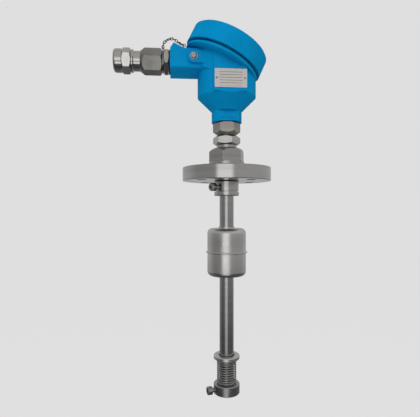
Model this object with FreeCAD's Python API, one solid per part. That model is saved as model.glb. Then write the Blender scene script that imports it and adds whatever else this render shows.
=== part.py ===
import FreeCAD, Part
import math
import os

# Flange-mounted magnetic float switch, in millimetres, +Z up.
# Origin: centre of the flange's lower sealing face. The stem and the float hang below it,
# the connection head stands above it, and the cable gland points along -X.
# Azimuths are degrees from the front, -Y, positive towards +X.

# Flange
flange_d = 100.0
flange_t = 15.0
flange_edge = 0.5
bolt_circle_d = 75.0
bolt_hole_d = 11.0
bolt_count = 4
bolt_phase = -8.0

# Stem and the reed strip inside it
stem_d = 16.0
stem_wall = 1.5
stem_end_z = -241.0
stem_plug_t = 3.0
stem_plug_spigot = 6.0
reed_board_w = 12.2
reed_board_t = 1.2
reed_d = 2.4
reed_len = 15.0
reed_high_z = -28.0
reed_middle_z = -112.0
reed_low_z = -188.0
lead_d = 1.4
lead_spacing = 4.4
lead_below = 6.0

# Fitting that clamps the stem to the flange
spigot_d = 29.0
spigot_relief_d = 24.6
spigot_relief_depth = 7.0
base_d = 40.0
base_h = 6.5
fitting_af = 36.0
fitting_hex_h = 15.8
fitting_foot_r = 20.4
fitting_crown_r = 12.9
fitting_crown_bulge = 1.0
fitting_corner_azimuth = -18.0
stub_d = 22.4
stub_h = 3.3
fitting_thread_d = 20.0
fitting_thread_h = 7.5
ferrule_h = 4.0
ferrule_wall = 1.1

# Hexagon nuts between the fitting and the head
nut_af = 27.0
chamfer_angle = 34.0
clamp_nut_h = 11.4
clamp_nut_low_r = 12.1
clamp_nut_high_r = 10.3
clamp_nut_flat_azimuth = -14.0
adaptor_h = 14.0
adaptor_low_r = 10.3
adaptor_high_r = 13.2
adaptor_flat_azimuth = -5.0
adaptor_thread_h = 10.5

# Head housing
neck_r = 17.0
neck_h = 12.3
neck_flat_w = 23.5
neck_flat_low = 2.0
neck_wall = 7.0
body_r = 33.0
body_wall = 6.0
cone_h = 16.0
plate_pad_w = 35.5
plate_pad_sunk = 1.4
plate_pad_low = 9.0
cover_x = -5.0
cover_up = 69.2
cover_tilt = 25.5
rim_r = 43.6
rim_t = 2.6
rim_taper = 0.9
collar_r = 39.5
collar_h = 13.0
collar_bore_r = 34.0
chamber_r = 27.2
chamber_depth = 9.0
cup_r = 32.3
cup_h = 4.0
cup_taper_h = 14.0
cup_foot_r = 27.0
boss_face_x = -64.0
boss_half_w = 20.0
boss_below = 12.3
boss_roof_drop = 12.2
boss_nose = 3.8
boss_edge = 2.5
saddle_r = 13.0
earth_x = -38.4
earth_above_axis = -0.8
earth_pad_r = 6.6
earth_pad_y = 24.0

# Screwed cover
cover_r = 45.2
cover_top_r = 44.8
cover_h = 21.6
cover_gap = 2.8
cover_roof = 4.0
cover_edge = 1.8
cover_thread_h = 9.0
cover_inner_r = 37.5
flute_count = 22
flute_depth = 0.55
flute_r = 18.0
flute_low = 5.0
seal_wire = 2.0
thread_play = 0.05

# Terminal block and its clamps
block_r = 33.4
block_t = 5.0
rib_w = 14.0
rib_l = 44.0
rib_h = 4.5
fin_t = 1.6
fin_h = 3.2
wire_way_w = 14.0
clamp_count = 3
clamp_pitch = 12.5
clamp_l = 11.0
clamp_w = 7.0
clamp_t = 1.0
terminal_screw_d = 3.0
terminal_head_d = 5.6
terminal_head_h = 1.8
block_flat_x = 26.0
block_wire_x = -21.5
ledge_screw_depth = 3.2

# Screws and plates on the outside
earth_head_d = 6.6
earth_head_h = 2.4
earth_shank_d = 4.0
earth_shank_l = 7.0
earth_washer_d = 8.2
earth_washer_t = 0.9
plate_w = 34.8
plate_h = 20.0
plate_t = 0.8
plate_x = 0.5
plate_up = 41.4
rivet_d = 2.4

# Cable gland, lengths along its axis from the boss face
gland_up = 67.4
gland_thread_d = 19.0
gland_thread_in = 14.0
gland_bore_d = 13.0
gland_washer_d = 26.4
gland_washer_t = 1.3
gland_locknut_af = 27.2
gland_locknut_turn = 10.0
gland_locknut_t = 5.7
gland_neck_l = 1.7
gland_neck_d = 18.0
gland_hex_af = 25.6
gland_hex_turn = -25.0
gland_hex_l = 19.2
gland_cone_l = 5.3
gland_barrel_d = 22.1
gland_barrel_l = 6.5
gland_nut_thread_d = 20.0
gland_nut_thread_l = 9.0
gland_nut_ring_l = 3.0
gland_nut_ring_d = 25.2
gland_nut_hex_l = 9.4
gland_nut_af = 24.8
gland_nut_turn = -12.0
gland_nut_dome_l = 9.6
gland_nut_dome_d = 26.0
gland_nut_gap = 0.7
gland_ring_l = 3.7
gland_dome_edge = 3.0
gland_socket_d = 17.0

# Retaining chain between the gland's neck and the boss roof
link_wire = 0.9
link_l = 4.6
link_w = 3.2
tab_t = 0.9
tab_rim = 3.2
tab_lug_r = 1.9
tab_hole_d = 2.1
tab_hole_r = 14.8
tab_azimuth = 42.0
tab_lean = 6.0
link_count = 11
chain_over_roof = 3.2
chain_over_nose = 4.1
chain_front_y = -18.0
eye_from_rim = 1.8
eye_y = -15.0
eye_r = 1.5
eye_wire = 0.9
eye_stem = 2.4

# Upper stop collar
upper_collar_d = 27.2
upper_collar_foot_d = 28.0
upper_collar_h = 16.4
upper_collar_foot_h = 4.6
upper_collar_groove = 0.9
upper_collar_groove_depth = 1.6
upper_collar_top_gap = 0.3
upper_screw_azimuth = -51.0
upper_screw_drop = 7.0
upper_screw_out = 5.9

# Float
float_d = 43.8
float_h = 53.8
float_top_z = -53.6
float_wall = 0.8
float_shoulder = 5.5
float_seam_d = 46.8
float_seam_t = 2.2
float_tube_d = 18.0
float_tube_wall = 0.6
float_tube_proud = 1.8
magnet_d = 27.0
magnet_h = 9.0
magnet_gap = 0.1

# Buffer washer, spring and lower collar
washer_d = 29.5
washer_bore_d = 18.0
washer_t = 4.4
washer_lip_d = 23.0
washer_lip_h = 1.9
washer_top_z = -197.3
lower_collar_d = 29.5
lower_collar_h = 11.0
lower_collar_z = -240.4
lower_screw_azimuth = -76.0
lower_screw_drop = 6.3
lower_screw_out = 3.2
collar_bolt_d = 4.6
collar_bolt_head_d = 9.2
collar_bolt_head_h = 5.2
collar_bolt_socket = 4.0
collar_bolt_socket_depth = 2.4
spring_wire = 1.35
spring_od = 22.2
spring_turns = 10
spring_steps = 18
spring_top_gap = 0.3

# Running and assembly clearances
fit = 0.05
play = 0.3

# Levels that follow from the sizes above
base_top_z = flange_t + base_h
fitting_hex_top_z = base_top_z + fitting_hex_h
clamp_nut_z = fitting_hex_top_z + stub_h
adaptor_z = clamp_nut_z + clamp_nut_h
head_z = adaptor_z + adaptor_h
neck_top_z = head_z + neck_h
body_low_z = neck_top_z + cone_h
cover_z = head_z + cover_up
gland_z = head_z + gland_up
stem_r = stem_d / 2
stem_bore_r = stem_r - stem_wall
stem_top_z = head_z + adaptor_thread_h - 2.5
lower_collar_top_z = lower_collar_z + lower_collar_h
rim_top_s = -cover_gap / 2
cover_low_s = cover_gap / 2
block_s = rim_top_s
plate_pad_y = body_r - plate_pad_sunk
eye_x = cover_x - rim_r - eye_from_rim
ledge_r = (chamber_r + collar_bore_r) / 2
gland_locknut_t0 = gland_washer_t
gland_neck_t0 = gland_locknut_t0 + gland_locknut_t
gland_hex_t0 = gland_neck_t0 + gland_neck_l
gland_cone_t0 = gland_hex_t0 + gland_hex_l
gland_barrel_t0 = gland_cone_t0 + gland_cone_l
gland_barrel_t1 = gland_barrel_t0 + gland_barrel_l
gland_thread_t1 = gland_barrel_t1 + gland_nut_thread_l
gland_ring_t1 = gland_thread_t1 + play
gland_ring_t0 = gland_ring_t1 - gland_ring_l
gland_nut_t0 = gland_barrel_t1 + gland_nut_gap
gland_nut_hex_t0 = gland_nut_t0 + gland_nut_ring_l
gland_dome_t0 = gland_nut_hex_t0 + gland_nut_hex_l
gland_nut_t1 = gland_dome_t0 + gland_nut_dome_l
upper_collar_top_z = -upper_collar_top_gap
upper_collar_z = upper_collar_top_z - upper_collar_h
upper_bolt_z = upper_collar_top_z - upper_screw_drop
lower_bolt_z = lower_collar_top_z - lower_screw_drop
float_mid_z = float_top_z - float_h / 2
washer_low_z = washer_top_z - washer_t - washer_lip_h


def vec(x, y, z):
    return FreeCAD.Vector(x, y, z)


UP = vec(0, 0, 1)
ORIGIN = vec(0, 0, 0)


def outline(start, *steps):
    """Closed outline in the XZ plane: a pair is a straight run, two pairs an arc through the first."""
    edges = []
    here = vec(start[0], 0, start[1])
    first = here
    for step in steps:
        if isinstance(step[0], tuple):
            middle = vec(step[0][0], 0, step[0][1])
            there = vec(step[1][0], 0, step[1][1])
            edges.append(Part.Arc(here, middle, there).toShape())
        else:
            there = vec(step[0], 0, step[1])
            edges.append(Part.makeLine(here, there))
        here = there
    if here.distanceToPoint(first) > 1e-7:
        edges.append(Part.makeLine(here, first))
    return Part.Wire(edges)


def dome(radius, base, height):
    """Arc from the rim of a spherical cap to its crown; a negative height points down."""
    big = (radius ** 2 + height ** 2) / (2 * height)
    half = math.asin(radius / abs(big)) / 2
    middle = (abs(big) * math.sin(half), base + height - big + big * math.cos(half))
    return (middle, (0, base + height))


def turned(start, *steps):
    """Solid of revolution about Z of an outline given as (radius, height) pairs."""
    return Part.Face(outline(start, *steps)).revolve(ORIGIN, UP, 360)


def rod(radius, z0, z1, x=0.0, y=0.0):
    return Part.makeCylinder(radius, z1 - z0, vec(x, y, z0))


def tube(outer_r, inner_r, z0, z1):
    return rod(outer_r, z0, z1).cut(rod(inner_r, z0 - 1, z1 + 1))


def block(x0, x1, y0, y1, z0, z1):
    return Part.makeBox(x1 - x0, y1 - y0, z1 - z0, vec(x0, y0, z0))


def turn_to(shape, azimuth):
    """Turn a shape that faces the front so that it faces an azimuth."""
    copy = shape.copy()
    copy.rotate(ORIGIN, UP, azimuth)
    return copy


def hexagon(across_flats, z0, z1):
    """Hexagonal prism with one flat facing the front."""
    corner_r = across_flats / math.sqrt(3)
    angles = [math.radians(60 * i) for i in range(6)]
    points = [vec(corner_r * math.cos(a), corner_r * math.sin(a), z0) for a in angles]
    return Part.Face(Part.makePolygon(points + points[:1])).extrude(vec(0, 0, z1 - z0))


def crowned_hexagon(across_flats, z0, z1, low_r, high_r, bulge=0.01):
    """Hexagon whose corners are turned off towards the end radii; the bulge rounds the upper turning."""
    corner_r = across_flats / math.sqrt(3) + 0.1
    slope = math.tan(math.radians(chamfer_angle))
    low = (corner_r - low_r) * slope
    high = (corner_r - high_r) * slope
    angle = math.radians(chamfer_angle)
    middle = ((corner_r + high_r) / 2 + bulge * math.sin(angle), z1 - high / 2 + bulge * math.cos(angle))
    crown = turned(
        (0, z0), (low_r, z0), (corner_r, z0 + low), (corner_r, z1 - high), (middle, (high_r, z1)), (0, z1),
    )
    return hexagon(across_flats, z0, z1).common(crown)


def on_cover_axis(shape):
    """Place a shape modelled about Z, with height zero in the cover's parting plane, on the tilted axis."""
    copy = shape.copy()
    copy.rotate(ORIGIN, vec(0, 1, 0), cover_tilt)
    copy.translate(vec(cover_x, 0, cover_z))
    return copy


def on_gland_axis(shape):
    """Place a shape modelled about Z, with height zero at the boss face, on the gland axis along -X."""
    copy = shape.copy()
    copy.rotate(ORIGIN, vec(0, 1, 0), -90)
    copy.translate(vec(boss_face_x, 0, gland_z))
    return copy


def radial(shape, azimuth, z):
    """Place a shape modelled along +Z so that it points outwards at an azimuth and a height."""
    copy = shape.copy()
    copy.rotate(ORIGIN, vec(1, 0, 0), 90)
    copy.rotate(ORIGIN, UP, azimuth)
    copy.translate(vec(0, 0, z))
    return copy


def around(count, shape, first=0.0):
    """Copies of a shape evenly spaced about Z."""
    return Part.makeCompound([turn_to(shape, first + 360.0 * i / count) for i in range(count)])


# Flange and stem

def flange():
    r = flange_d / 2
    disc = turned(
        (spigot_d / 2 + fit, 0), (r - flange_edge, 0), (r, flange_edge),
        (r, flange_t - flange_edge), (r - flange_edge, flange_t), (spigot_d / 2 + fit, flange_t),
    )
    hole = rod(bolt_hole_d / 2, -1, flange_t + 1, 0, -bolt_circle_d / 2)
    return disc.cut(around(bolt_count, hole, bolt_phase + 180.0 / bolt_count))


def stem_tube():
    return tube(stem_r, stem_bore_r, stem_end_z + stem_plug_t, stem_top_z)


def stem_plug():
    """End plug with a spigot inside the tube and a chamfered foot."""
    top = stem_end_z + stem_plug_t
    edge = 0.8
    inner = stem_bore_r - fit
    return turned(
        (0, stem_end_z), (stem_r - edge, stem_end_z), (stem_r, stem_end_z + edge), (stem_r, top),
        (inner, top), (inner, top + stem_plug_spigot), (0, top + stem_plug_spigot),
    )


def reed_board():
    low = stem_end_z + stem_plug_t + stem_plug_spigot
    return block(-reed_board_w / 2, reed_board_w / 2, 0, reed_board_t, low, head_z)


def reed_switches():
    """Sealed glass capsules along the strip, one at each switching level."""
    r = reed_d / 2
    half = reed_len / 2
    end_h = 0.8 * r
    high = half - end_h
    capsule = rod(r, -high, high).fuse([
        turned((0, high - r / 2), (r, high - r / 2), (r, high), dome(r, high, end_h)),
        turned((0, r / 2 - high), (r, r / 2 - high), (r, -high), dome(r, -high, -end_h)),
    ]).removeSplitter()
    placed = []
    for level in (reed_high_z, reed_middle_z, reed_low_z):
        copy = capsule.copy()
        copy.translate(vec(0, -reed_d / 2, level))
        placed.append(copy)
    return Part.makeCompound(placed)


def reed_leads():
    """Two insulated leads from the strip's upper end to the underside of the terminal block."""
    ceiling = on_cover_axis(rod(2 * body_r, block_s - 2 * cover_up, block_s))
    low = head_z - lead_below
    high = cover_z + body_r
    leads = [
        rod(lead_d / 2, low, high, side * lead_spacing / 2, -lead_d / 2).common(ceiling)
        for side in (-1, 1)
    ]
    return Part.makeCompound([lead.Solids[0] for lead in leads])


# Clamp fitting

def fitting_body():
    hexagonal = crowned_hexagon(
        fitting_af, base_top_z, fitting_hex_top_z, fitting_foot_r, fitting_crown_r, fitting_crown_bulge)
    hexagonal = turn_to(hexagonal, fitting_corner_azimuth + 30)
    top = clamp_nut_z + fitting_thread_h
    shape = rod(spigot_d / 2, 0.5, flange_t)
    shape = shape.fuse([
        rod(base_d / 2, flange_t, base_top_z),
        hexagonal,
        rod(stub_d / 2, fitting_hex_top_z, clamp_nut_z),
        rod(fitting_thread_d / 2, clamp_nut_z, top),
    ]).removeSplitter()
    bore = rod(stem_r + fit, -1, top + 1)
    relief = rod(spigot_relief_d / 2, -1, spigot_relief_depth)
    mouth = turned(
        (0, top - ferrule_h), (stem_r + fit, top - ferrule_h),
        (stem_r + ferrule_wall, top), (stem_r + ferrule_wall, top + 1), (0, top + 1),
    )
    return shape.cut([bore, relief, mouth])


def ferrule():
    """Tapered ring that the nut drives onto the stem."""
    top = clamp_nut_z + fitting_thread_h
    inner = stem_r + fit
    return turned(
        (inner, top - ferrule_h + 1.0), (inner, top + 0.3),
        (stem_r + ferrule_wall - fit, top + 0.3), (stem_r + ferrule_wall - fit, top),
        (inner + 0.1, top - ferrule_h + 1.0),
    )


def clamp_nut():
    nut = crowned_hexagon(nut_af, clamp_nut_z, adaptor_z, clamp_nut_low_r, clamp_nut_high_r)
    nut = turn_to(nut, clamp_nut_flat_azimuth)
    thread = rod(fitting_thread_d / 2 + fit, clamp_nut_z - 1, clamp_nut_z + fitting_thread_h + 0.3)
    return nut.cut([thread, rod(stem_r + fit, clamp_nut_z, adaptor_z + 1)])


def head_adaptor():
    hexagonal = crowned_hexagon(nut_af, adaptor_z, head_z, adaptor_low_r, adaptor_high_r)
    hexagonal = turn_to(hexagonal, adaptor_flat_azimuth)
    top = head_z + adaptor_thread_h
    shape = hexagonal.fuse(rod(neck_r - neck_wall - fit, head_z, top)).removeSplitter()
    socket = rod(stem_r + fit, adaptor_z - 1, stem_top_z)
    return shape.cut([socket, rod(stem_bore_r, adaptor_z, top + 1)])


# Head housing

def boss_block():
    """Conduit boss: a flat-sided block under a roof that lies parallel to the cover."""
    low = gland_z - boss_below
    nose_x = boss_face_x + boss_nose
    rim_x = cover_x - rim_r
    profile = outline(
        (boss_face_x, low), (0, low), (0, roof_z(rim_x)), (rim_x, roof_z(rim_x)),
        (nose_x, roof_z(nose_x)), (boss_face_x, roof_z(nose_x) - 1.6 * boss_nose),
    )
    solid = Part.Face(profile).extrude(vec(0, 2 * boss_half_w, 0))
    solid.translate(vec(0, -boss_half_w, 0))
    long_low = [
        e for e in solid.Edges
        if abs(e.BoundBox.ZMax - low) < 1e-6 and e.BoundBox.YLength < 1e-6
    ]
    return solid.makeFillet(boss_edge, long_low)


def earth_pad():
    """Raised obround pad that carries the outer earth screw and runs into the body."""
    z = gland_z + earth_above_axis
    depth = vec(0, body_r - 8, 0)
    disc = Part.makeCylinder(earth_pad_r, depth.Length, vec(earth_x, -earth_pad_y, z), vec(0, 1, 0))
    run = Part.makeBox(-earth_x - body_r / 2 + 2, depth.Length, 2 * earth_pad_r,
                       vec(earth_x, -earth_pad_y, z - earth_pad_r))
    return disc.fuse(run)


def head_housing():
    body_top_z = cover_z + rim_r
    shell = turned(
        (0, head_z), (neck_r, head_z), (neck_r, neck_top_z),
        (body_r, body_low_z), (body_r, body_top_z), (0, body_top_z),
    )
    half_w = plate_pad_w / 2
    pad = block(-half_w, half_w, -plate_pad_y, 0, body_low_z, body_top_z)
    in_front = block(-half_w, half_w, -2 * body_r, -plate_pad_y, body_low_z - plate_pad_low, body_top_z)
    shell = shell.fuse(pad).cut(in_front)
    below_rim = on_cover_axis(rod(3 * body_r, -6 * body_r, rim_top_s - rim_t))
    shell = shell.common(below_rim)
    cup = on_cover_axis(turned(
        (0, rim_top_s - rim_t), (cup_r, rim_top_s - rim_t), (cup_r, rim_top_s - rim_t - cup_h),
        (cup_foot_r, rim_top_s - rim_t - cup_h - cup_taper_h), (0, rim_top_s - rim_t - cup_h - cup_taper_h),
    ))
    rim = on_cover_axis(turned(
        (0, rim_top_s - rim_t - rim_taper), (rim_r - 3.5, rim_top_s - rim_t - rim_taper),
        (rim_r, rim_top_s - rim_t), (rim_r, rim_top_s), (collar_r, rim_top_s),
        (collar_r, rim_top_s + collar_h - 1), (collar_r - 1, rim_top_s + collar_h),
        (0, rim_top_s + collar_h),
    ))
    saddle_end = cover_x - cup_r + 4
    saddle_x = boss_face_x + 2 * boss_nose
    saddle = Part.makeCylinder(saddle_r, saddle_end - saddle_x, vec(saddle_x, 0, gland_z), vec(1, 0, 0))
    shell = shell.fuse([boss_block(), saddle, cup, rim, earth_pad()]).removeSplitter()

    flat_y = math.sqrt(neck_r ** 2 - (neck_flat_w / 2) ** 2)
    flats = [
        block(-neck_r, neck_r, -neck_r - 1, -flat_y, head_z + neck_flat_low, neck_top_z),
        block(-neck_r, neck_r, flat_y, neck_r + 1, head_z + neck_flat_low, neck_top_z),
    ]
    chamber = turned(
        (0, neck_top_z), (neck_r - neck_wall, neck_top_z), (body_r - body_wall, body_low_z + 2),
        (body_r - body_wall, body_top_z), (0, body_top_z),
    ).common(on_cover_axis(rod(3 * body_r, -6 * body_r, rim_top_s - chamber_depth + fit)))
    mouth = on_cover_axis(turned(
        (0, rim_top_s - chamber_depth), (chamber_r, rim_top_s - chamber_depth), (chamber_r, block_s),
        (collar_bore_r, block_s), (collar_bore_r, rim_top_s + collar_h + 1), (0, rim_top_s + collar_h + 1),
    ))
    conduit = Part.makeCylinder(
        gland_thread_d / 2 + fit, -boss_face_x - 12, vec(boss_face_x - 1, 0, gland_z), vec(1, 0, 0))
    stem_hole = rod(neck_r - neck_wall, head_z - 1, neck_top_z + 1)
    earth_from = vec(earth_x, -earth_pad_y - 1, gland_z + earth_above_axis)
    earth_hole = Part.makeCylinder(earth_shank_d / 2 + fit, earth_shank_l + 1, earth_from, vec(0, 1, 0))
    shell = shell.cut(flats + [chamber, mouth, conduit, stem_hole, earth_hole, eye_hole()])
    ledge_holes = [ledge_hole(0, ledge_r), ledge_hole(0, -ledge_r), ledge_hole(ledge_r, 0)]
    return shell.cut(ledge_holes + rivet_holes())


def cover():
    low = cover_low_s
    top = low + cover_h
    shell = turned(
        (collar_r + thread_play, low + 1.2 * seal_wire), (collar_r + seal_wire + 0.2, low + 1.2 * seal_wire),
        (collar_r + seal_wire + 0.2, low), (cover_r, low), (cover_top_r, top - cover_edge),
        (cover_top_r - cover_edge, top), (0, top),
        (0, top - cover_roof), (cover_inner_r - 2, top - cover_roof),
        (cover_inner_r, top - cover_roof - 2), (cover_inner_r, low + 1.2 * seal_wire + cover_thread_h + 1),
        (collar_r + thread_play, low + 1.2 * seal_wire + cover_thread_h + 1),
    )
    cutter = rod(flute_r, low + flute_low, top + 1, 0, -(cover_r + flute_r - flute_depth))
    return on_cover_axis(shell.cut(around(flute_count, cutter)))


def cover_seal():
    """O-ring in the cover's lower groove."""
    r = seal_wire / 2
    ring = Part.makeTorus(collar_r + 0.1 + r, r)
    ring.translate(vec(0, 0, cover_low_s + 0.1 + r))
    return on_cover_axis(ring)


# Terminal block

def terminal_block():
    """Round moulding on the housing's ledge, with a rib that carries the clamps."""
    low = block_s
    face = low + block_t
    top = face + rib_h
    disc = turned((0, low), (block_r, low), (block_r, face - 0.6), (block_r - 0.6, face), (0, face))
    pieces = [block(-rib_w / 2, rib_w / 2, -rib_l / 2, rib_l / 2, face - 0.5, top)]
    for i in range(clamp_count + 1):
        y = (i - clamp_count / 2) * clamp_pitch
        pieces.append(block(-rib_w / 2, rib_w / 2, y - fin_t / 2, y + fin_t / 2, face, top + fin_h))
    shape = disc.fuse(pieces).removeSplitter()
    cuts = [rod(terminal_screw_d / 2 + fit, top - 6, top + 1, x, y) for x, y in terminal_places()]
    cuts.append(block(-block_r - 1, block_wire_x, -wire_way_w / 2, wire_way_w / 2, low - 1, face + 1))
    cuts.append(block(block_flat_x, block_r + 1, -block_r, block_r, low - 1, face + 1))
    for side in (-1, 1):
        cuts.append(rod(terminal_screw_d / 2 + fit, low - 1, face + 1, 0, side * ledge_r))
        cuts.append(rod(terminal_head_d / 2 + play, low + block_t / 2, face + 1, 0, side * ledge_r))
    return on_cover_axis(shape.cut(cuts))


def terminal_places():
    half = clamp_l / 2 - 2.5
    rows = [(i - (clamp_count - 1) / 2) * clamp_pitch for i in range(clamp_count)]
    return [(side * half, y) for y in rows for side in (-1, 1)]


def terminal_clamps():
    low = block_s + block_t + rib_h
    clamps = []
    for i in range(clamp_count):
        y = (i - (clamp_count - 1) / 2) * clamp_pitch
        plate = block(-clamp_l / 2, clamp_l / 2, y - clamp_w / 2, y + clamp_w / 2, low, low + clamp_t)
        hole_r = terminal_screw_d / 2 + fit
        holes = [rod(hole_r, low - 1, low + 3, x, yy) for x, yy in terminal_places() if yy == y]
        clamps.append(on_cover_axis(plate.cut(holes)))
    return Part.makeCompound(clamps)


def pan_screw(shank_r, length, head_r, head_h):
    """Pan-head screw with a cross recess, head seated at height zero and shank below."""
    head = turned(
        (0, 0), (head_r, 0), (head_r, head_h * 0.35),
        ((head_r * 0.82, head_h * 0.86), (head_r * 0.45, head_h)), (0, head_h),
    )
    shape = head.fuse(rod(shank_r, -length, 0)).removeSplitter()
    arm = head_r * 0.62
    width = head_r * 0.13
    recess = [
        block(-arm, arm, -width, width, head_h * 0.45, head_h + 1),
        block(-width, width, -arm, arm, head_h * 0.45, head_h + 1),
    ]
    return shape.cut(recess)


def terminal_screws():
    seat = block_s + block_t + rib_h + clamp_t
    screw = pan_screw(terminal_screw_d / 2, 5.5, terminal_head_d / 2, terminal_head_h)
    placed = []
    for x, y in terminal_places():
        copy = screw.copy()
        copy.translate(vec(x, y, seat))
        placed.append(on_cover_axis(copy))
    return Part.makeCompound(placed)


def ledge_hole(x, y):
    """Tapped hole in the ledge under the terminal block."""
    return on_cover_axis(rod(terminal_screw_d / 2 + fit, block_s - ledge_screw_depth, block_s + 1, x, y))


def block_screws():
    """Two sunk screws that hold the block on the ledge."""
    seat = block_s + block_t / 2
    length = block_t / 2 + ledge_screw_depth - play
    screw = pan_screw(terminal_screw_d / 2, length, terminal_head_d / 2, terminal_head_h)
    placed = []
    for side in (-1, 1):
        copy = screw.copy()
        copy.translate(vec(0, side * ledge_r, seat))
        placed.append(on_cover_axis(copy))
    return Part.makeCompound(placed)


def inner_earth_screw():
    screw = pan_screw(terminal_screw_d / 2, ledge_screw_depth - play, terminal_head_d / 2, terminal_head_h)
    screw.translate(vec(ledge_r, 0, block_s))
    return on_cover_axis(screw)


# Screws and plate on the outside of the head

def to_front(shape, x, front_y, z):
    """Place a shape modelled along +Z so that it points to the front."""
    copy = shape.copy()
    copy.rotate(ORIGIN, vec(1, 0, 0), 90)
    copy.translate(vec(x, front_y, z))
    return copy


def earth_screw():
    screw = pan_screw(earth_shank_d / 2, earth_shank_l, earth_head_d / 2, earth_head_h)
    return to_front(screw, earth_x, -earth_pad_y - earth_washer_t, gland_z + earth_above_axis)


def earth_washer():
    ring = tube(earth_washer_d / 2, earth_shank_d / 2 + fit, 0, earth_washer_t)
    return to_front(ring, earth_x, -earth_pad_y, gland_z + earth_above_axis)


def rivet_places():
    return [(plate_x + side * (plate_w / 2 - rivet_d), head_z + plate_up) for side in (-1, 1)]


def name_plate():
    """Blank plate on the flat pad."""
    z = head_z + plate_up
    plate = block(plate_x - plate_w / 2, plate_x + plate_w / 2, -plate_pad_y - plate_t, -plate_pad_y,
                  z - plate_h / 2, z + plate_h / 2)
    upright = [e for e in plate.Edges if e.BoundBox.YLength > plate_t / 2]
    plate = plate.makeFillet(0.8, upright)
    holes = [to_front(rod(rivet_d / 4 + fit, -1, 3), x, -plate_pad_y, zz) for x, zz in rivet_places()]
    return plate.cut(holes)


def plate_rivets():
    head = turned((0, 0), (rivet_d / 2, 0), dome(rivet_d / 2, 0, rivet_d * 0.3))
    head = head.fuse(rod(rivet_d / 4, -plate_t - 2.5, 0)).removeSplitter()
    return Part.makeCompound([to_front(head, x, -plate_pad_y - plate_t, z) for x, z in rivet_places()])


def rivet_holes():
    return [to_front(rod(rivet_d / 4 + fit, -3, 3), x, -plate_pad_y, z) for x, z in rivet_places()]


# Cable gland

def gland_washer():
    return on_gland_axis(tube(gland_washer_d / 2, gland_thread_d / 2 + fit, 0, gland_washer_t))


def gland_locknut():
    end_r = gland_locknut_af / 2 - 0.4
    nut = crowned_hexagon(gland_locknut_af, gland_locknut_t0, gland_neck_t0, end_r, end_r)
    hole = rod(gland_thread_d / 2 + fit, -1, gland_neck_t0 + 1)
    return on_gland_axis(turn_to(nut, gland_locknut_turn).cut(hole))


def gland_body():
    """Entry body: thread into the boss, neck, long hexagon turned down to a barrel, and the nut's thread."""
    corner_r = gland_hex_af / math.sqrt(3) + 0.1
    low_r = gland_hex_af / 2 - 0.9
    slope = math.tan(math.radians(chamfer_angle))
    crown = turned(
        (0, gland_hex_t0), (low_r, gland_hex_t0), (corner_r, gland_hex_t0 + (corner_r - low_r) * slope),
        (corner_r, gland_cone_t0), (gland_barrel_d / 2, gland_barrel_t0), (0, gland_barrel_t0),
    )
    long_hex = turn_to(hexagon(gland_hex_af, gland_hex_t0, gland_barrel_t0), gland_hex_turn).common(crown)
    shape = long_hex.fuse([
        rod(gland_thread_d / 2, -gland_thread_in, gland_neck_t0),
        rod(gland_neck_d / 2, gland_neck_t0, gland_hex_t0),
        rod(gland_barrel_d / 2, gland_barrel_t0, gland_barrel_t1),
        rod(gland_nut_thread_d / 2, gland_barrel_t1, gland_thread_t1),
    ]).removeSplitter()
    bore = rod(gland_bore_d / 2, -gland_thread_in - 1, gland_barrel_t0 + 1)
    socket = rod(gland_socket_d / 2, gland_barrel_t0, gland_thread_t1 + 1)
    return on_gland_axis(shape.cut([bore, socket]))


def gland_bush():
    """Rubber bush that the nut squeezes onto the cable."""
    outer_r = gland_socket_d / 2 - fit
    return on_gland_axis(tube(outer_r, gland_bore_d / 2, gland_barrel_t0, gland_ring_t0 - fit))


def gland_ring():
    """Slip ring between the bush and the turning nut."""
    return on_gland_axis(tube(gland_socket_d / 2 - fit, gland_bore_d / 2, gland_ring_t0, gland_ring_t1))


def gland_nut():
    dome_r = gland_nut_dome_d / 2
    ring_r = gland_nut_ring_d / 2
    edge = gland_dome_edge
    bulge = edge * (1 - math.sqrt(0.5))
    end_r = gland_nut_af / 2 - 0.2
    hexagonal = crowned_hexagon(gland_nut_af, gland_nut_hex_t0, gland_dome_t0, end_r, end_r)
    hexagonal = turn_to(hexagonal, gland_nut_turn)
    turned_part = turned(
        (0, gland_nut_t0), (ring_r - 0.8, gland_nut_t0), (ring_r, gland_nut_t0 + 0.8),
        (ring_r, gland_nut_hex_t0 - 1.0), (ring_r - 1.0, gland_nut_hex_t0), (ring_r - 1.0, gland_dome_t0),
        (dome_r - 0.6, gland_dome_t0), (dome_r, gland_dome_t0 + 0.6), (dome_r, gland_nut_t1 - edge),
        ((dome_r - bulge, gland_nut_t1 - bulge), (dome_r - edge, gland_nut_t1)), (0, gland_nut_t1),
    )
    shape = turned_part.fuse(hexagonal).removeSplitter()
    thread = rod(gland_nut_thread_d / 2 + thread_play, gland_nut_t0 - 1, gland_ring_t1 + fit)
    return on_gland_axis(shape.cut([thread, rod(gland_bore_d / 2, gland_nut_t0, gland_nut_t1 + 1)]))


# Retaining chain

def chain_tab():
    """Flat ring on the gland's neck with a drilled lug for the first link."""
    mid = gland_neck_t0 + gland_neck_l / 2
    z0 = mid - tab_t / 2
    z1 = mid + tab_t / 2
    lug = block(gland_neck_d / 2 + 1, tab_hole_r, -tab_lug_r, tab_lug_r, z0, z1)
    lug = lug.fuse(rod(tab_lug_r, z0, z1, tab_hole_r, 0))
    ring = rod(gland_neck_d / 2 + fit + tab_rim, z0, z1)
    neck = rod(gland_neck_d / 2 + fit, z0 - 1, z1 + 1)
    hole = rod(tab_hole_d / 2, z0 - 1, z1 + 1, tab_hole_r, 0)
    return on_gland_axis(turn_to(ring.fuse(lug).removeSplitter().cut([neck, hole]), -tab_azimuth))


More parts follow.
